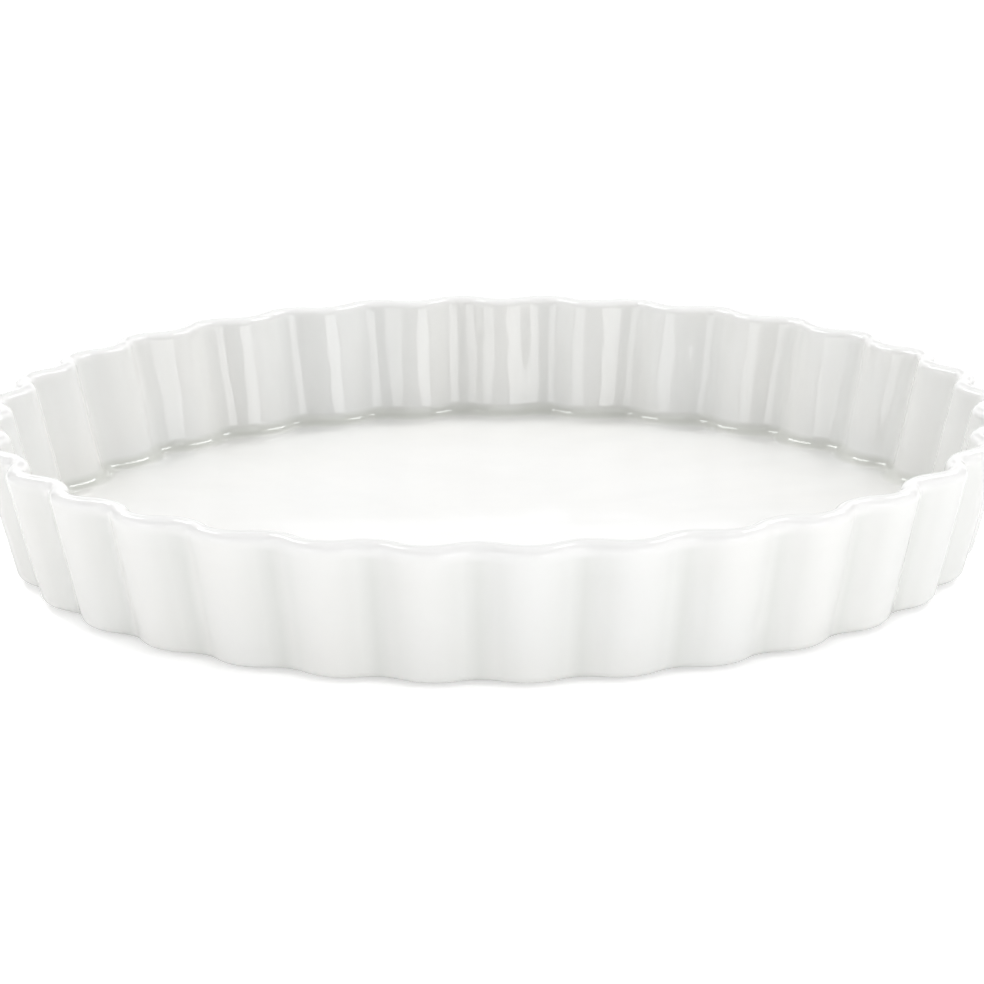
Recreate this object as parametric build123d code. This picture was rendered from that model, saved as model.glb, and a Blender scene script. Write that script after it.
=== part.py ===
from build123d import *
import math
import os

# A round, shallow quiche dish of glazed porcelain, standing on its foot ring.
# The origin is the centre of the dish on the plane it stands on, and +Z is up.
# Lengths are in millimetres, angles in degrees.

# Driving dimensions of the dish
rim_diameter = 280.0
dish_height = 38.8
wall_lean = 14.0
wall_thickness = 5.5
floor_thickness = 4.2

# The flutes run from the base edge to the rim and grow a little deeper on the way up.
# A larger dish has more of them: their pitch is measured around the rim.
# Their lobes and valleys are arcs of a share of the radius at which the two would touch,
# which leaves a short straight flank between them.
flute_pitch = 27.5
rim_flute_depth = 4.3
base_flute_depth = 3.2
flute_arc_share = 0.85

# Rounded edges. The rim is rounded to half its wall, so it has no size of its own.
inner_corner_round = 4.5
base_edge_round = 3.0

# Each rounding is a few level bands, which stray under a quarter of a millimetre from the arc.
# One band turns by no more than band_angle, and the level crest of the rim by crest_angle.
band_angle = 38.0
crest_angle = 26.0

# The bare ring that the dish stands on, set in from the fluted edge
foot_height = 1.0
foot_setback = 8.0
foot_width = 5.0
foot_draft = 0.6

# Worked out from the driving dimensions
lean_slope = math.tan(math.radians(wall_lean))
level_share = 1 / math.cos(math.radians(wall_lean))
rim_round = wall_thickness / 2
rim_centre_height = dish_height - rim_round
rim_wall_radius = rim_diameter / 2 - rim_round - rim_flute_depth / 2
floor_top = foot_height + floor_thickness
flute_count = round(math.pi * rim_diameter / flute_pitch)
right_angle = 90.0
half_pitch_angle = 2 * right_angle / flute_count


def mid_radius(height):
    """Mean radius of the middle of the wall at a height above the standing plane."""
    return rim_wall_radius - (rim_centre_height - height) * lean_slope


def flute_depth(height):
    """Peak-to-valley depth of the flutes at a height above the standing plane."""
    rise_share = (height - foot_height) / (rim_centre_height - foot_height)
    return base_flute_depth + (rim_flute_depth - base_flute_depth) * rise_share


def polar(radius, turn, height):
    """Point at a radius, at an angle from the front of the dish."""
    angle = math.radians(turn - right_angle)
    return Vector(radius * math.cos(angle), radius * math.sin(angle), height)


def touching_arc_radius(peak, valley):
    """Radius at which equal lobe and valley arcs between two radii just touch."""
    turn_cosine = math.cos(math.pi / flute_count)
    square = 2 * (1 - turn_cosine)
    linear = 2 * (1 + turn_cosine) * (peak - valley)
    constant = peak**2 + valley**2 - 2 * turn_cosine * peak * valley
    return (math.sqrt(linear**2 + 4 * square * constant) - linear) / (2 * square)


def flute_face(wave_height, height, offset):
    """Level face bounded by lobe arcs, valley arcs and the flanks between them.

    The wave is that of the middle of the wall at wave_height, offset outwards.
    """
    peak = mid_radius(wave_height) + flute_depth(wave_height) / 2
    valley = peak - flute_depth(wave_height)
    arc_radius = flute_arc_share * touching_arc_radius(peak, valley)

    def flank(lobe, side):
        """Lobe end and valley end of the flank on one side of a lobe."""
        lobe_centre = polar(peak - arc_radius, lobe, height)
        valley_centre = polar(valley + arc_radius, lobe + side * half_pitch_angle, height)
        span = valley_centre - lobe_centre
        swing = math.degrees(math.acos(2 * arc_radius / span.length))
        way = span.normalized().rotate(Axis.Z, -side * swing)
        return lobe_centre + way * (arc_radius + offset), valley_centre - way * (arc_radius - offset)

    edges = []
    for index in range(flute_count):
        lobe = (2 * index + 1) * half_pitch_angle
        lobe_start, _ = flank(lobe, -1)
        lobe_end, valley_start = flank(lobe, 1)
        next_lobe_start, valley_end = flank(lobe + 2 * half_pitch_angle, -1)
        lobe_peak = polar(peak + offset, lobe, height)
        valley_floor = polar(valley + offset, lobe + half_pitch_angle, height)
        edges.append(ThreePointArc(lobe_start, lobe_peak, lobe_end))
        edges.append(Line(lobe_end, valley_start))
        edges.append(ThreePointArc(valley_start, valley_floor, valley_end))
        edges.append(Line(valley_end, next_lobe_start))
    return Face(Wire(edges))


def rounding(centre_height, centre_offset, radius, start, end):
    """Level faces along an arc of the wall's section. Angles are measured up from outwards."""
    bands = math.ceil(abs(end - start) / band_angle)
    faces = []
    for band in range(bands + 1):
        angle = math.radians(start + (end - start) * band / bands)
        height = centre_height + radius * math.sin(angle)
        offset = centre_offset + radius * math.cos(angle)
        faces.append(flute_face(centre_height, height, offset))
    return faces


def lower_rounding(bottom, side_offset, radius):
    """Rounding between a level bottom and a leaning side, whose surface is at side_offset."""
    centre_offset = side_offset - radius * level_share
    return rounding(bottom + radius, centre_offset, radius, -right_angle, -wall_lean)


def dish_body():
    """Glazed body: one fluted wall of even thickness on a flat floor."""
    side_offset = rim_round * level_share
    outer_crest = right_angle - crest_angle / 2
    inner_crest = right_angle + crest_angle / 2
    inner_side = 2 * right_angle - wall_lean
    outer_rim = rounding(rim_centre_height, 0, rim_round, -wall_lean, outer_crest)
    inner_rim = rounding(rim_centre_height, 0, rim_round, inner_side, inner_crest)
    base_edge = lower_rounding(foot_height, side_offset, base_edge_round)
    corner = lower_rounding(floor_top, -side_offset, inner_corner_round)
    outside = loft(base_edge + outer_rim, ruled=True)
    cavity = loft(corner + inner_rim, ruled=True)
    return outside - cavity


def foot_ring():
    """Bare ring under the body, a little narrower where it meets the table."""
    outer = mid_radius(foot_height) + rim_round * level_share - foot_setback
    inner = outer - foot_width
    section = Polyline(
        (outer, 0, foot_height),
        (outer - foot_draft, 0, 0),
        (inner + foot_draft, 0, 0),
        (inner, 0, foot_height),
        close=True,
    )
    return revolve(make_face(section), Axis.Z)


os.makedirs("parts", exist_ok=True)
export_step(dish_body(), "parts/dish_body.step")
export_step(foot_ring(), "parts/foot_ring.step")
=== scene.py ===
import math

import bpy
import numpy as np
from mathutils import Matrix, Vector


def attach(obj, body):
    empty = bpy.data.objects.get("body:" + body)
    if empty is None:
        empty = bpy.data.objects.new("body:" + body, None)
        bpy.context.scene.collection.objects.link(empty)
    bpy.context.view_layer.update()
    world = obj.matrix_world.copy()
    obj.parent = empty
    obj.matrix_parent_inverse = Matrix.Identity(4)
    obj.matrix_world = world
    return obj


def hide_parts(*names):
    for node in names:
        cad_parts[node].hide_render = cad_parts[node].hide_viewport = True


# A glazed porcelain quiche dish. Sizes below are in millimetres, as measured on the dish,
# and the meshes are made in metres.
MM = 0.001

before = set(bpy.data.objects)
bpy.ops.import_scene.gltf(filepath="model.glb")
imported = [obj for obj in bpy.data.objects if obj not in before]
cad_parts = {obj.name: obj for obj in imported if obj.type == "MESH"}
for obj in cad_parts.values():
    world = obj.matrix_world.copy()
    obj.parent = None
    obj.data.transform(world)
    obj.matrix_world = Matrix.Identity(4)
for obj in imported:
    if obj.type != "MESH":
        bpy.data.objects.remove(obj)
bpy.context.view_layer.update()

# The dish, in the sizes of the solid part. FOOT and FLOOR are the heights of its underside and
# floor, and the two depths are those of the flutes.
DISH_RADIUS = 140.0
DISH_HEIGHT = 38.8
HALF_WALL = 2.75
LEAN = math.radians(14.0)
FOOT = 1.0
FLOOR = 5.2
BASE_DEPTH = 3.2
RIM_DEPTH = 4.3
CORNER_ROUND = 4.5
BASE_ROUND = 3.0
FLUTES = 32
HALF_PITCH = math.pi / FLUTES

# The flutes are a little rounder than those of the solid, which has 0.85 here
ARC_SHARE = 0.97

# Worked out from these: the centre of the rim's rounding, and the level half thickness of the wall
RIM_HEIGHT = DISH_HEIGHT - HALF_WALL
RIM_MID_RADIUS = DISH_RADIUS - HALF_WALL - RIM_DEPTH / 2
SIDE = HALF_WALL / math.cos(LEAN)

# The glaze skin lies a little inside the solid's outer faces. RIM_RISE is the rise of the rim's
# rounding over its centre, a little less than its half width.
SKIN = 0.14
RIM_RISE = 2.65

# Columns along one flute: over the lobe, a flank, through the valley and the next flank
LOBE_STEPS = 13
FLANK_STEPS = 2
VALLEY_STEPS = 13
PER_FLUTE = LOBE_STEPS + 2 * FLANK_STEPS + VALLEY_STEPS
COLUMNS = FLUTES * PER_FLUTE

# Steps along the section of the wall, from the underside to the corner
UNDER_STEPS = 4
BASE_STEPS = 10
WALL_STEPS = 26
OUTER_RIM_STEPS = 12
INNER_RIM_STEPS = 10
CORNER_STEPS = 14

# The floor's rows, as shares of its fluted edge, which they leave for a circle on the way in
FLOOR_SHARES = [
    0.985, 0.965, 0.94, 0.91, 0.87, 0.82, 0.76, 0.69, 0.61, 0.52, 0.42, 0.31, 0.2, 0.1, 0.04,
]
FLOOR_CIRCLE = 119.8
FLOOR_TURNS_ROUND = 9

# Section of the underside, as radii and heights from the middle outwards. On both sides of the
# foot ring the glaze hangs down it as a thin bead.
UNDERSIDE_RADII = [6.0, 20.0, 36.0, 52.0, 66.0, 80.0, 92.0, 102.0, 109.0, 113.0, 115.0]
INNER_BEAD = [
    (115.6, 0.985), (115.98, 0.93), (116.2, 0.82), (116.33, 0.7), (116.42, 0.6),
    (116.52, 0.56), (116.64, 0.6), (116.9, 0.8), (117.3, 1.06),
]
BEHIND_RING = [(118.7, 1.08)]
OUTER_BEAD = [
    (120.1, 1.06), (120.5, 0.8), (120.75, 0.6), (120.87, 0.56), (120.98, 0.6),
    (121.07, 0.7), (121.2, 0.82), (121.42, 0.93), (121.8, 0.985), (122.4, FOOT),
]

# Section of the bare ring: its outer side, ground face, inner side and top
RING_SECTION = [
    (121.19, 1.0), (121.07, 0.8), (120.95, 0.6), (120.83, 0.4), (120.73, 0.24), (120.62, 0.12),
    (120.48, 0.04), (120.2, 0.0), (119.6, 0.0), (118.7, 0.0), (117.8, 0.0), (117.2, 0.0),
    (116.92, 0.04), (116.78, 0.12), (116.67, 0.24), (116.57, 0.4), (116.45, 0.6), (116.33, 0.8),
    (116.2, 1.0), (117.4, 1.0), (118.7, 1.0), (120.0, 1.0),
]


# The wave of the wall

def directions(angles):
    """Level unit vectors at angles in radians."""
    return np.stack([np.cos(angles), np.sin(angles)], -1)


def touching_arc(peak, valley):
    """Radius at which equal lobe and valley arcs between two radii just touch."""
    turn_cosine = math.cos(HALF_PITCH)
    square = 2 * (1 - turn_cosine)
    linear = 2 * (1 + turn_cosine) * (peak - valley)
    constant = peak**2 + valley**2 - 2 * turn_cosine * peak * valley
    return (math.sqrt(linear**2 + 4 * square * constant) - linear) / (2 * square)


def flank(start, end):
    """Points along the straight flank from one arc to the next."""
    shares = np.arange(FLANK_STEPS)[:, None] / FLANK_STEPS
    return start + (end - start) * shares


def one_flute(height):
    """Plan points of one flute and the angles of their normals, x running through its peak."""
    mid = RIM_MID_RADIUS - (RIM_HEIGHT - height) * math.tan(LEAN)
    depth = BASE_DEPTH + (RIM_DEPTH - BASE_DEPTH) * (height - FOOT) / (RIM_HEIGHT - FOOT)
    peak, valley = mid + depth / 2, mid - depth / 2
    arc = ARC_SHARE * touching_arc(peak, valley)
    lobe = (peak - arc) * directions(0.0)
    hollow = (valley + arc) * directions(HALF_PITCH)
    next_lobe = (peak - arc) * directions(2 * HALF_PITCH)
    span = hollow - lobe
    tilt = math.atan2(span[1], span[0]) - math.acos(2 * arc / np.linalg.norm(span))
    next_tilt = 2 * HALF_PITCH - tilt

    over_lobe = np.linspace(-tilt, tilt, LOBE_STEPS, endpoint=False)
    in_valley = np.linspace(tilt, next_tilt, VALLEY_STEPS, endpoint=False)
    down, up = arc * directions(tilt), arc * directions(next_tilt)
    points = np.concatenate([
        lobe + arc * directions(over_lobe),
        flank(lobe + down, hollow - down),
        hollow - arc * directions(in_valley),
        flank(hollow - up, next_lobe + up),
    ])
    angles = np.concatenate([
        over_lobe, np.full(FLANK_STEPS, tilt), in_valley, np.full(FLANK_STEPS, next_tilt),
    ])
    return points, angles


def wave(height):
    """Plan points and outward normals of the middle of the wall, one for every column."""
    flute, angles = one_flute(height)
    points, normals = [], []
    for index in range(FLUTES):
        turn = (2 * index + 1) * HALF_PITCH - math.pi / 2
        along, across = directions(turn), directions(turn + math.pi / 2)
        points.append(flute[:, :1] * along + flute[:, 1:] * across)
        normals.append(directions(angles + turn))
    return np.concatenate(points), np.concatenate(normals)


def lobe_shares():
    """How far each column is into a lobe: 1 on its peak, 0 in the valley and 0.5 on the flanks."""
    fall = np.abs(np.linspace(-1, 1, LOBE_STEPS, endpoint=False)) / 2
    rise = np.abs(np.linspace(-1, 1, VALLEY_STEPS, endpoint=False)) / 2
    halfway = np.full(FLANK_STEPS, 0.5)
    return np.tile(np.concatenate([1 - fall, halfway, rise, halfway]), FLUTES)


# Rows of the meshes

def wall_row(wave_height, z, offset):
    """One row of the wall: every column offset outwards from the wave, at height z."""
    points, normals = wave(wave_height)
    return np.column_stack([points + normals * offset, np.full(COLUMNS, z)])


def arc_rows(centre_height, centre_offset, across, up, start, end, steps):
    """Rows along an arc of the wall's section, its angles in degrees up from outwards."""
    rows = []
    for angle in np.radians(np.linspace(start, end, steps + 1)):
        z = centre_height + up * math.sin(angle)
        rows.append(wall_row(centre_height, z, centre_offset + across * math.cos(angle)))
    return rows


def between(first, last, steps):
    """Rows strictly between two rows."""
    return [first + (last - first) * t for t in np.linspace(0, 1, steps + 1)[1:-1]]


def ring_row(radius, z):
    """One round row, its columns in line with those of the wall."""
    points, _ = wave(FLOOR)
    turn = np.arctan2(points[:, 1], points[:, 0])
    return np.column_stack([radius * directions(turn), np.full(COLUMNS, z)])


def radius_of(points):
    """Distances from the axis of the dish."""
    return np.hypot(points[..., 0], points[..., 1])


# Small unevenness of the cast and glazed surface, as sums of waves

# The highest point of such a sum, over the root of its mean square
CREST = 2.2

# On the walls: its height, seed, least and most waves around the dish, and their length upwards
WALL_SWELLS = [(0.11, 7, (24, 74), 21.0), (0.035, 8, (70, 180), 30.0), (0.07, 9, (3, 24), 60.0)]
BEAD_SWELLS = [(0.18, 21, (20, 160), 30.0)]
RING_SWELLS = [(0.045, 31, (60, 300), 9.0), (0.02, 32, (200, 440), 5.0)]

# On the floor and the underside: its height, seed and the length of its waves
FLOOR_SWELLS = [(0.10, 12, 46.0), (0.035, 13, 17.0)]
UNDERSIDE_SWELLS = [(0.05, 14, 40.0)]


def ripple(points, seed, around, upright, count=26):
    """Smooth unevenness, about 1 at its highest, from waves around the dish and up its wall."""
    rng = np.random.default_rng(seed)
    turn = np.arctan2(points[..., 1], points[..., 0])
    total = np.zeros(points.shape[:-1])
    for _ in range(count):
        whole_waves = int(rng.integers(around[0], around[1]))
        rate = rng.normal() * 2 * math.pi / upright
        phase = rng.uniform(0, 2 * math.pi)
        total += np.cos(whole_waves * turn + rate * points[..., 2] + phase)
    return total / (CREST * math.sqrt(count / 2))


def floor_ripple(points, seed, size, count=30):
    """Smooth unevenness, about 1 at its highest, from level waves of about this length."""
    rng = np.random.default_rng(seed)
    total = np.zeros(points.shape[:-1])
    for _ in range(count):
        way = rng.uniform(0, 2 * math.pi)
        rate = 2 * math.pi / (size * rng.uniform(0.6, 1.8))
        phase = rng.uniform(0, 7)
        run = points[..., 0] * math.cos(way) + points[..., 1] * math.sin(way)
        total += np.cos(rate * run + phase)
    return total / (CREST * math.sqrt(count / 2))


def unevenness(make, points, swells):
    """The sum of some swells, each of them a height and the settings of its ripple."""
    return sum(height * make(points, *settings) for height, *settings in swells)


# Meshes

def row_normals(grid):
    """Normals of a grid of rows and columns that closes around."""
    along = np.roll(grid, -1, 1) - np.roll(grid, 1, 1)
    up = np.gradient(grid, axis=0)
    n = np.cross(along, up)
    return n / np.maximum(np.linalg.norm(n, axis=2, keepdims=True), 1e-9)


def grid_faces(rows):
    """Faces between the rows of a grid that closes around."""
    faces = []
    for row in range(rows - 1):
        low, high = row * COLUMNS, (row + 1) * COLUMNS
        for c in range(COLUMNS):
            d = (c + 1) % COLUMNS
            faces.append((low + c, low + d, high + d, high + c))
    return faces


def make_object(name, points, faces, tones):
    """Smooth object from points in millimetres, with a value at each point for every tone."""
    mesh = bpy.data.meshes.new(name)
    mesh.from_pydata((points * MM).tolist(), [], faces)
    mesh.update()
    mesh.polygons.foreach_set("use_smooth", [True] * len(mesh.polygons))
    for key, values in tones.items():
        layer = mesh.attributes.new(key, "FLOAT", "POINT")
        layer.data.foreach_set("value", np.asarray(values, np.float32))
    mesh.update()
    made = bpy.data.objects.new(name, mesh)
    bpy.context.scene.collection.objects.link(made)
    return made


# The glazed body: up the outside, over the rim, down the inside, across the floor

def floor_rows(edge):
    """Rows from the fluted edge of the floor in to its middle."""
    rows = []
    for share in FLOOR_SHARES:
        fluted = edge * np.array([share, share, 1.0])
        mix = min(1.0, (1 - share) * FLOOR_TURNS_ROUND)
        rows.append(fluted * (1 - mix) + ring_row(FLOOR_CIRCLE * share, FLOOR) * mix)
    return rows


def body_rows():
    """Rows from the middle of the underside to the middle of the floor, and the part of each."""
    lean = math.degrees(LEAN)
    level_share = 1 / math.cos(LEAN)
    under_section = [(radius, FOOT) for radius in UNDERSIDE_RADII]
    under_section += INNER_BEAD + BEHIND_RING + OUTER_BEAD
    under = [ring_row(radius, z) for radius, z in under_section]
    base_centre = SIDE - SKIN - BASE_ROUND * level_share
    base = arc_rows(
        FOOT + BASE_ROUND, base_centre, BASE_ROUND, BASE_ROUND, -90, -lean, BASE_STEPS)
    under += between(under[-1], base[0], UNDER_STEPS)
    outer_rim = arc_rows(
        RIM_HEIGHT, 0, HALF_WALL - SKIN, RIM_RISE, -lean, 90, OUTER_RIM_STEPS)
    outer = between(base[-1], outer_rim[0], WALL_STEPS)
    inner_rim = arc_rows(
        RIM_HEIGHT, 0, HALF_WALL, RIM_RISE, 90, 180 - lean, INNER_RIM_STEPS)[1:]
    corner_centre = -SIDE - CORNER_ROUND * level_share
    corner = arc_rows(
        FLOOR + CORNER_ROUND, corner_centre, CORNER_ROUND, CORNER_ROUND, -lean, -90, CORNER_STEPS)
    inner = between(inner_rim[-1], corner[0], WALL_STEPS)
    rows, parts = [], []
    for part, group in [
        ("under", under), ("base", base), ("outer", outer), ("rim", outer_rim + inner_rim),
        ("inner", inner), ("corner", corner), ("floor", floor_rows(corner[-1])),
    ]:
        rows += group
        parts += [part] * len(group)
    return np.array(rows), np.array(parts)


grid, parts = body_rows()
under, base, outer, rim, inner, corner, floor = [
    np.where(parts == part)[0]
    for part in ["under", "base", "outer", "rim", "inner", "corner", "floor"]
]

# Share of the unevenness of the walls that each row takes. It fades over a few rows of the rim.
OUTER_SHARE = 0.75
CORNER_FOOT_SHARE = 0.5
FADE_ROWS = np.arange(6)
INNER_FADE = 0.85 - 0.14 * FADE_ROWS
OUTER_FADE = 0.6 - 0.12 * FADE_ROWS
wall_share = np.zeros(len(parts))
wall_share[inner] = 1.0
wall_share[corner] = np.linspace(1.0, CORNER_FOOT_SHARE, len(corner))
wall_share[outer] = OUTER_SHARE
wall_share[base] = np.linspace(0.0, OUTER_SHARE, len(base))
wall_share[rim[-1] - FADE_ROWS] = INNER_FADE
wall_share[rim[0] + FADE_ROWS] = OUTER_FADE

# Glaze on the walls lies in long, low runs. Outside, its swells are cut off at a height and sunk,
# so that they stay within the faces of the solid.
MOST_SWELL = 0.07
OUTER_SINK = 0.03
OUTER_RIM_ROWS = 7
swell = unevenness(ripple, grid, WALL_SWELLS) * wall_share[:, None]
outside = np.concatenate([base, outer, rim[:OUTER_RIM_ROWS]])
sink = OUTER_SINK * wall_share[outside][:, None]
swell[outside] = np.minimum(swell[outside], MOST_SWELL) - sink
grid = grid + row_normals(grid) * swell[..., None]
away = radius_of(grid)

# The floor is a little uneven both ways: not yet at this radius, and fully so this much further in
FLOOR_STILL = 125.0
FLOOR_SETTLES = 14.0
settle = np.clip((FLOOR_STILL - away) / FLOOR_SETTLES, 0, 1)
grid[floor, :, 2] += (unevenness(floor_ripple, grid, FLOOR_SWELLS) * settle)[floor]

# So is the underside within the foot ring
UNDERSIDE_PLAIN = 114.5
is_under = (parts == "under")[:, None]
plain = is_under & (away < UNDERSIDE_PLAIN)
grid[..., 2] += np.where(plain, unevenness(floor_ripple, grid, UNDERSIDE_SWELLS), 0)

# The glaze stops along an uneven line at the foot, the more so the lower it hangs
BEAD_TOP = 0.95
bead = is_under & (grid[..., 2] < BEAD_TOP)
bead_sway = unevenness(ripple, grid, BEAD_SWELLS) * (FOOT - grid[..., 2])
grid[..., 2] += np.where(bead, bead_sway, 0)

# Glaze gathers in the grooves and in the outer valleys, and painted shade darkens them as well.
# The inner corner gets a band of painted shade in both dark tones
GROOVE_POOL_AND_SHADE = 0.35
CORNER_PAINTED_SHADE = 0.5
OUTER_POOL_AND_SHADE_POWER = 1.6
lobe_share = lobe_shares()
# Painted shade along the inner corner, strongest halfway round it
corner_shade_band = np.sin(np.linspace(0, math.pi, len(corner)))[:, None]
pool_and_shade = np.zeros(grid.shape[:2])
pool_and_shade[np.concatenate([inner, corner])] = GROOVE_POOL_AND_SHADE * lobe_share**2
pool_and_shade[corner] += CORNER_PAINTED_SHADE * corner_shade_band
pool_and_shade[np.concatenate([base, outer])] = (1 - lobe_share) ** OUTER_POOL_AND_SHADE_POWER
corner_shade = np.zeros(grid.shape[:2])
corner_shade[corner] = corner_shade_band

# It draws thin over the rim and the last rows below it outside, which painted light whitens as
# well, and painted light makes the floor whiter towards its middle
RIM_THIN_AND_LIGHT = 1.6
RIM_THIN_AND_LIGHT_START = 0.12
BELOW_RIM = np.arange(4)
BELOW_RIM_THIN_AND_LIGHT = 0.19 - 0.045 * BELOW_RIM
FLOOR_PAINTED_LIGHT = 0.85
WHITER_FROM = 118.0
WHITER_OVER = 60.0
thin_glaze_and_light = np.zeros(grid.shape[:2])
over_rim = RIM_THIN_AND_LIGHT * np.sin(np.linspace(RIM_THIN_AND_LIGHT_START, math.pi, len(rim)))
thin_glaze_and_light[rim] = np.clip(over_rim, 0, 1)[:, None]
thin_glaze_and_light[rim[0] - 1 - BELOW_RIM] = BELOW_RIM_THIN_AND_LIGHT[:, None]
# Painted light: the floor is whiter towards its middle
thin_glaze_and_light[floor] = FLOOR_PAINTED_LIGHT * np.clip((WHITER_FROM - away[floor]) / WHITER_OVER, 0, 1)

# One point closes the underside and one the floor
points = grid.reshape(-1, 3)
faces = grid_faces(len(grid))
low_centre, high_centre = len(points), len(points) + 1
points = np.vstack([points, [[0, 0, FOOT], [0, 0, grid[-1, :, 2].mean()]]])
last_row = (len(grid) - 1) * COLUMNS
for c in range(COLUMNS):
    d = (c + 1) % COLUMNS
    faces.append((low_centre, d, c))
    faces.append((high_centre, last_row + c, last_row + d))
dish = make_object("dish_body_glazed", points, faces, {
    "pool_and_shade": np.append(np.clip(pool_and_shade, 0, 1), [0, 0]),
    "thin_glaze_and_light": np.append(thin_glaze_and_light, [0, thin_glaze_and_light[-1].mean()]),
    "corner_shade": np.append(corner_shade, [0, 0]),
})


# The bare foot ring, its sides a little uneven and its ground face level

# How fast the unevenness sets in over the ground face and under the glaze, and how fast the look
# of the ground face ends over it, all per millimetre
SETS_IN_LOW = 4
SETS_IN_HIGH = 8
GROUND_ENDS = 12

ring = np.array([ring_row(radius, z) for radius, z in RING_SECTION])
ring_z = ring[..., 2]
side_share = np.clip(ring_z * SETS_IN_LOW, 0, 1) * np.clip((FOOT - ring_z) * SETS_IN_HIGH, 0, 1)
uneven = unevenness(ripple, ring, RING_SWELLS) * side_share
ring[..., :2] *= (1 + uneven / radius_of(ring))[..., None]
ring_faces = grid_faces(len(ring))
last_row = (len(ring) - 1) * COLUMNS
for c in range(COLUMNS):
    d = (c + 1) % COLUMNS
    ring_faces.append((last_row + c, last_row + d, d, c))
ring_faces = [tuple(reversed(face)) for face in ring_faces]
ground = np.clip(1 - ring_z * GROUND_ENDS, 0, 1)
foot = make_object("foot_ring_bare", ring.reshape(-1, 3), ring_faces, {"ground": ground.ravel()})


# Finishes

class Nodes:
    """A short way to lay out a node material."""

    def __init__(self, name):
        self.material = bpy.data.materials.new(name)
        self.material.use_nodes = True
        self.tree = self.material.node_tree
        self.tree.nodes.clear()

    def feed(self, socket, value):
        """Link a socket to another, or set its value."""
        if isinstance(value, bpy.types.NodeSocket):
            self.tree.links.new(value, socket)
        else:
            socket.default_value = value

    def add(self, kind, inputs=None, **settings):
        """A node of this kind, its inputs fed by name."""
        node = self.tree.nodes.new(kind)
        for key, value in settings.items():
            setattr(node, key, value)
        for key, value in (inputs or {}).items():
            self.feed(node.inputs[key], value)
        return node

    def place(self):
        """Coordinates of the object."""
        return self.add("ShaderNodeTexCoord").outputs["Object"]

    def tone(self, name):
        """A value stored at the points of the mesh."""
        return self.add("ShaderNodeAttribute", attribute_name=name).outputs["Fac"]

    def noise(self, place, scale, detail, roughness=0.5):
        """Smooth noise from 0 to 1."""
        found = self.add("ShaderNodeTexNoise", {
            "Vector": place, "Scale": scale, "Detail": detail, "Roughness": roughness,
        })
        return found.outputs["Fac"]

    def remap(self, value, low, high, to_low=0, to_high=1):
        """A value taken from one range to another, and held within it."""
        found = self.add("ShaderNodeMapRange", {
            "Value": value, "From Min": low, "From Max": high, "To Min": to_low, "To Max": to_high,
        })
        return found.outputs["Result"]

    def blend(self, share, first, second):
        """One colour going over into another."""
        found = self.add("ShaderNodeMix", data_type="RGBA")
        self.feed(found.inputs[0], share)
        self.feed(found.inputs[6], first)
        self.feed(found.inputs[7], second)
        return found.outputs[2]

    def math(self, operation, first, second):
        """Two values put together by one operation."""
        found = self.add("ShaderNodeMath", operation=operation)
        self.feed(found.inputs[0], first)
        self.feed(found.inputs[1], second)
        return found.outputs[0]

    def times(self, first, second):
        """The product of two values."""
        return self.math("MULTIPLY", first, second)

    def bump(self, strength, distance, height, **inputs):
        """Normals of a surface raised by this height."""
        found = self.add("ShaderNodeBump", {
            "Strength": strength, "Distance": distance, "Height": height, **inputs,
        })
        return found.outputs["Normal"]

    def finish(self, base, roughness, normal):
        """Porcelain of this colour and roughness as the surface of the material."""
        shader = self.add("ShaderNodeBsdfPrincipled", {
            "Base Color": base, "Roughness": roughness, "IOR": IOR, "Normal": normal,
        })
        self.add("ShaderNodeOutputMaterial", {"Surface": shader.outputs["BSDF"]})
        return self.material


IOR = 1.5

# Colours of the glaze, and the share of each at its full tone
WARM = (0.905, 0.902, 0.880, 1)
COOL = (0.900, 0.904, 0.891, 1)
GRAIN = (0.885, 0.882, 0.868, 1)
# Thicker glaze and painted shade in the grooves and valleys
POOL_AND_SHADE = (0.802, 0.812, 0.786, 1)
# Painted shade of the inner corner
CORNER_SHADE = (0.740, 0.750, 0.702, 1)
# Thin glaze, and painted light on the rim, the rows below it and the floor
THIN_GLAZE_AND_LIGHT = (0.968, 0.967, 0.960, 1)
SPECK = (0.42, 0.38, 0.31, 1)
GRAIN_SHARE = 0.25
POOL_AND_SHADE_SHARE = 0.9
CORNER_SHADE_SHARE = 0.9
THIN_GLAZE_AND_LIGHT_SHARE = 0.85
SPECK_SHARE = 0.35


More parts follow.
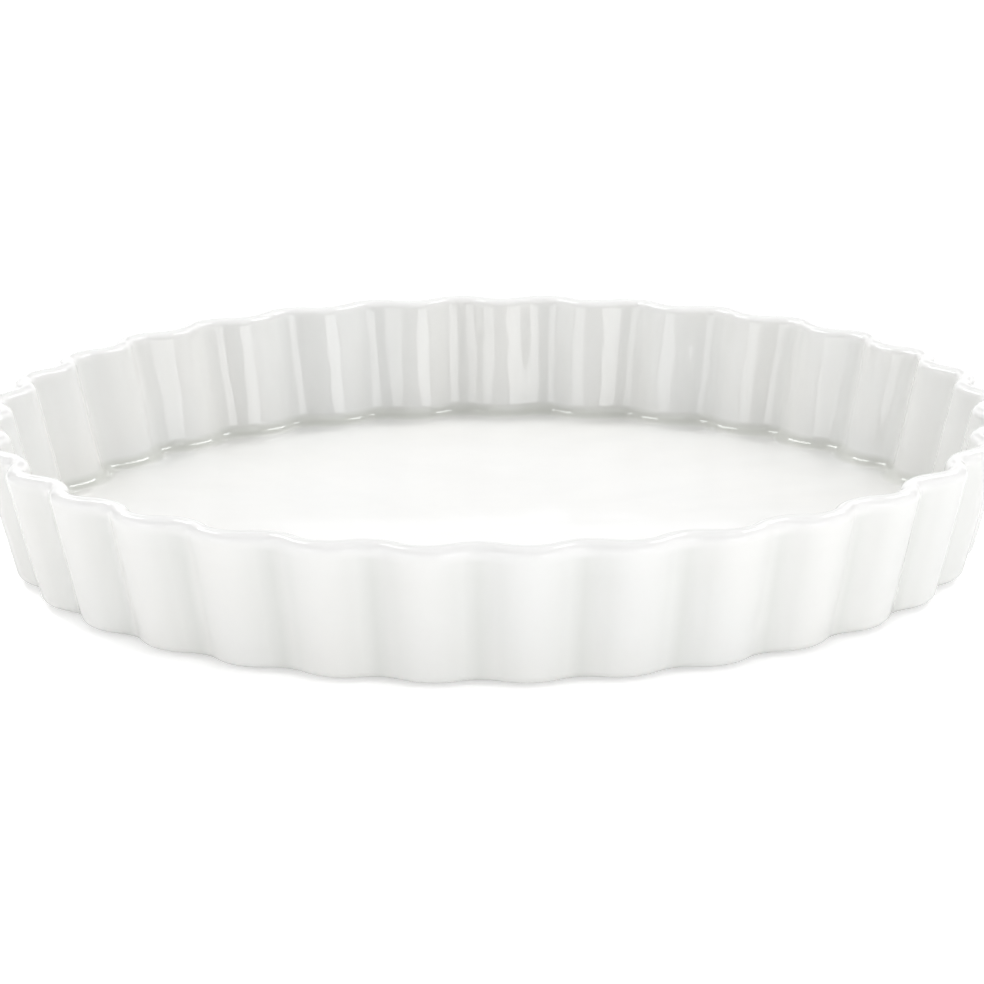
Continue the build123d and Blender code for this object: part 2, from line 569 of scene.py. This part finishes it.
def glaze_material():
    """Clear glaze over white porcelain."""
    m = Nodes("white_glaze")
    place = m.place()

    # Slow changes of tone across the body, and a faint grain of the clay under the glaze
    cloud = m.noise(place, 22.0, 3.0)
    grain = m.noise(place, 900.0, 2.0)
    base = m.blend(m.remap(cloud, 0.35, 0.65), WARM, COOL)
    base = m.blend(m.times(m.remap(grain, 0.45, 0.8), GRAIN_SHARE), base, GRAIN)

    # Thicker glaze is a little greener, and painted shade darkens the grooves, outer valleys and
    # inner corner. Thin glaze over the rim is whiter, and painted light whitens the rim, below it
    # and the floor
    base = m.blend(m.times(m.tone("pool_and_shade"), POOL_AND_SHADE_SHARE), base, POOL_AND_SHADE)
    base = m.blend(m.times(m.tone("corner_shade"), CORNER_SHADE_SHARE), base, CORNER_SHADE)
    base = m.blend(m.times(m.tone("thin_glaze_and_light"), THIN_GLAZE_AND_LIGHT_SHARE), base, THIN_GLAZE_AND_LIGHT)

    # A few tiny specks in the clay, in the rare cells of a fine pattern
    cells = m.add("ShaderNodeTexVoronoi", {
        "Vector": place, "Scale": 95.0, "Randomness": 1.0,
    }, feature="F1")
    dot = m.remap(cells.outputs["Distance"], 0.0, 0.028, 1.0, 0.0)
    chance = m.add("ShaderNodeSeparateColor", {"Color": cells.outputs["Color"]}).outputs[0]
    speck = m.times(dot, m.math("GREATER_THAN", chance, 0.985))
    base = m.blend(m.times(speck, SPECK_SHARE), base, SPECK)

    # The shine is a little uneven, and the surface has a fine peel on a low swell
    dull = m.remap(m.noise(place, 420.0, 2.0), 0.5, 0.75)
    shine = m.remap(m.noise(place, 35.0, 3.0), 0.3, 0.7, 0.018, 0.040)
    shine = m.math("ADD", shine, m.times(dull, 0.02))
    peel = m.bump(0.035, 0.0003, m.noise(place, 260.0, 2.0, 0.45))
    swell = m.bump(0.10, 0.0004, m.noise(place, 75.0, 1.0, 0.4), Normal=peel)
    return m.finish(base, shine, swell)


BARE = (0.80, 0.785, 0.745, 1)
BARE_DARKER = (0.74, 0.72, 0.675, 1)
BARE_GRAIN = (0.62, 0.60, 0.56, 1)
RUB_MARK = (0.50, 0.485, 0.455, 1)


def bare_material():
    """Unglazed porcelain, smoother and marked where it's ground flat."""
    m = Nodes("bare_porcelain")
    place = m.place()
    ground_flat = m.tone("ground")
    grain = m.noise(place, 1400.0, 3.0, 0.6)
    base = m.blend(m.remap(m.noise(place, 40.0, 4.0), 0.3, 0.7), BARE, BARE_DARKER)
    base = m.blend(m.times(m.remap(grain, 0.5, 0.8), 0.4), base, BARE_GRAIN)
    stretched = m.add("ShaderNodeMapping", {"Vector": place, "Scale": (1.0, 1.0, 0.2)})
    rub = m.noise(stretched.outputs["Vector"], 160.0, 5.0, 0.65)
    mark = m.times(m.remap(rub, 0.52, 0.75), ground_flat)
    base = m.blend(m.times(mark, 0.5), base, RUB_MARK)
    rough = m.remap(grain, 0.3, 0.7, 0.62, 0.85)
    rough = m.math("SUBTRACT", rough, m.times(ground_flat, 0.16))
    return m.finish(base, rough, m.bump(0.5, 0.00008, grain))


dish.data.materials.append(glaze_material())
foot.data.materials.append(bare_material())
for made, node, slot in [
    (dish, "dish_body", "white_glaze"),
    (foot, "foot_ring", "bare_porcelain"),
]:
    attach(made, "root")
    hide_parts(node)


# Table: its colour, radius in metres, and glow, for the dish and as the camera sees it

WHITE = (1, 1, 1, 1)
TABLE_WHITE = (0.90, 0.90, 0.90, 1)
TABLE_RADIUS = 9.0
TABLE_GLOW = 0.13
TABLE_GLOW_SEEN = 0.40


def table_material():
    """White table. The camera sees it lifted to the white of the backdrop, and its shadow stays."""
    m = Nodes("white_table")
    diffuse = m.add("ShaderNodeBsdfDiffuse", {"Color": TABLE_WHITE, "Roughness": 0.0})
    seen = m.add("ShaderNodeLightPath").outputs["Is Camera Ray"]
    glow = m.remap(seen, 0, 1, TABLE_GLOW, TABLE_GLOW_SEEN)
    lift = m.add("ShaderNodeEmission", {"Color": WHITE, "Strength": glow})
    both = m.add("ShaderNodeAddShader")
    m.feed(both.inputs[0], diffuse.outputs[0])
    m.feed(both.inputs[1], lift.outputs[0])
    m.add("ShaderNodeOutputMaterial", {"Surface": both.outputs[0]})
    return m.material


bpy.ops.mesh.primitive_circle_add(
    vertices=96, radius=TABLE_RADIUS, fill_type="NGON", location=(0, 0, 0))
table = bpy.context.object
table.name = "table"
table.data.materials.append(table_material())


# Lamps, in metres and degrees

def towards(azimuth, elevation):
    """Unit vector from the dish, its azimuth measured from the front (-Y) to the right."""
    a, e = math.radians(azimuth), math.radians(elevation)
    return Vector((math.cos(e) * math.sin(a), -math.cos(e) * math.cos(a), math.sin(e)))


def area_lamp(name, place, along, width, height, radiance):
    """A flat lamp that faces the dish. Its radiance is what the camera would see, 1 being white."""
    data = bpy.data.lights.new(name, "AREA")
    data.shape = "RECTANGLE"
    data.size = width
    data.size_y = height
    data.energy = radiance * math.pi * width * height
    lamp = bpy.data.objects.new(name, data)
    back = place.normalized()
    across = (along - back * along.dot(back)).normalized()
    axes = Matrix((across, back.cross(across), back)).transposed()
    lamp.matrix_world = Matrix.Translation(place) @ axes.to_4x4()
    bpy.context.scene.collection.objects.link(lamp)
    return lamp


def panel(name, azimuth, elevation, half_width, half_height, radiance, distance):
    """A level lamp, placed and sized by the angles that the dish sees."""
    place = towards(azimuth, elevation) * distance
    level_distance = distance * math.cos(math.radians(elevation))
    width = 2 * level_distance * math.tan(math.radians(half_width))
    height = 2 * distance * math.tan(math.radians(half_height))
    return area_lamp(name, place, towards(azimuth + 90, 0), width, height, radiance)


def strip(name, first, last, half_height, radiance):
    """A slanting strip of light from one direction to another."""
    start, end = towards(*first), towards(*last)
    middle = (start + end).normalized()
    width = 2 * FAR * math.tan(start.angle(end) / 2)
    height = 2 * FAR * math.tan(math.radians(half_height))
    return area_lamp(name, middle * FAR, end - start, width, height, radiance)


# Panels: azimuth, elevation, half width, half height, radiance and distance
NEAR = 0.80
FAR = 1.6
PANELS = {
    "soft_left": (-43, 12.5, 17, 10.5, 2.1, NEAR),
    "soft_right": (36, 12.5, 16.5, 10.5, 2.84, NEAR),
    "front": (-4, 18, 20, 16, 0.26, FAR),
    "low_left": (-80, 9, 18, 7, 0.88, FAR),
    "low_right": (76, 9, 22, 7, 0.72, FAR),
    "side_left": (-76, 26, 20, 10, 1.13, FAR),
    "side_right": (72, 26, 24, 10, 1.13, FAR),
    "far_left": (-108, 19, 12, 17, 0.3, FAR),
    "far_right": (108, 19, 12, 17, 0.3, FAR),
    "rear_left": (-156, 29, 12, 10.5, 1.1, FAR),
    "rear_right": (156, 29, 12, 10.5, 0.85, FAR),
    "behind": (180, 10.5, 36, 8.5, 0.84, FAR),
    "high_back": (180, 57, 20, 3, 14.0, FAR),
    "high_back_left": (-140, 57, 20, 3, 5.4, FAR),
    "high_back_right": (140, 57, 20, 3, 4.8, FAR),
    "upper_front": (15, 50, 34, 12, 0.88, FAR),
    "overhead": (0, 71, 58, 7, 1.18, FAR),
}
for name, settings in PANELS.items():
    lamp = panel(name, *settings)
    # The high lamps light the floor of the dish, and aren't mirrored in it
    lamp.visible_glossy = not name.startswith("high_")

# Strips: first and last azimuth and elevation, half height and radiance. They make the thin
# bright arcs at the feet of the ribs.
STRIPS = {
    "slant_left": ((-100, 63), (-137, 34), 5.0, 6.3),
    "slant_right": ((100, 63), (137, 34), 5.0, 6.7),
}
for name, settings in STRIPS.items():
    strip(name, *settings)

# World: dim on the dish, and white where the camera sees it
WORLD = 0.11


def white_world(level):
    """A room that lights the dish at this level behind a white backdrop."""
    world = bpy.data.worlds.new("studio")
    bpy.context.scene.world = world
    world.use_nodes = True
    tree = world.node_tree
    tree.nodes.clear()
    path = tree.nodes.new("ShaderNodeLightPath")
    pick = tree.nodes.new("ShaderNodeMixShader")
    out = tree.nodes.new("ShaderNodeOutputWorld")
    tree.links.new(path.outputs["Is Camera Ray"], pick.inputs[0])
    for name, strength, socket in [("room", level, 1), ("backdrop", 1.0, 2)]:
        light = tree.nodes.new("ShaderNodeBackground")
        light.name = name
        light.inputs["Color"].default_value = WHITE
        light.inputs["Strength"].default_value = strength
        tree.links.new(light.outputs[0], pick.inputs[socket])
    tree.links.new(pick.outputs[0], out.inputs[0])


white_world(WORLD)


# Camera, fitted to the photograph: placed by its distance, rise and swing from a point just over
# the table, aimed a little above that point and rolled a little

CAMERA_BASE = Vector((0, 0, 0.0013))
DISTANCE = 1.2717
RISE = math.radians(15.90)
SWING = math.radians(1.534)
ABOVE = math.radians(0.594)
ROLL = math.radians(0.559)
PHOTO_PIXELS = 984.0
FOCAL_PIXELS = 4641.0
SENSOR_WIDTH = 36.0


def from_front(rise):
    """Unit vector towards the camera's side, raised by an angle in radians."""
    level = math.cos(rise)
    return Vector((level * math.sin(SWING), -level * math.cos(SWING), math.sin(rise)))


camera_data = bpy.data.cameras.new("camera")
camera_data.sensor_width = SENSOR_WIDTH
camera_data.lens = FOCAL_PIXELS / PHOTO_PIXELS * SENSOR_WIDTH
camera_data.clip_start = 0.01
camera_data.clip_end = 50.0
camera = bpy.data.objects.new("camera", camera_data)
place = CAMERA_BASE + from_front(RISE) * DISTANCE
turn = (-from_front(RISE - ABOVE)).to_track_quat("-Z", "Y").to_matrix().to_4x4()
camera.matrix_world = Matrix.Translation(place) @ turn @ Matrix.Rotation(-ROLL, 4, "Z")
bpy.context.scene.collection.objects.link(camera)

scene = bpy.context.scene
scene.camera = camera
scene.view_settings.view_transform = "Standard"
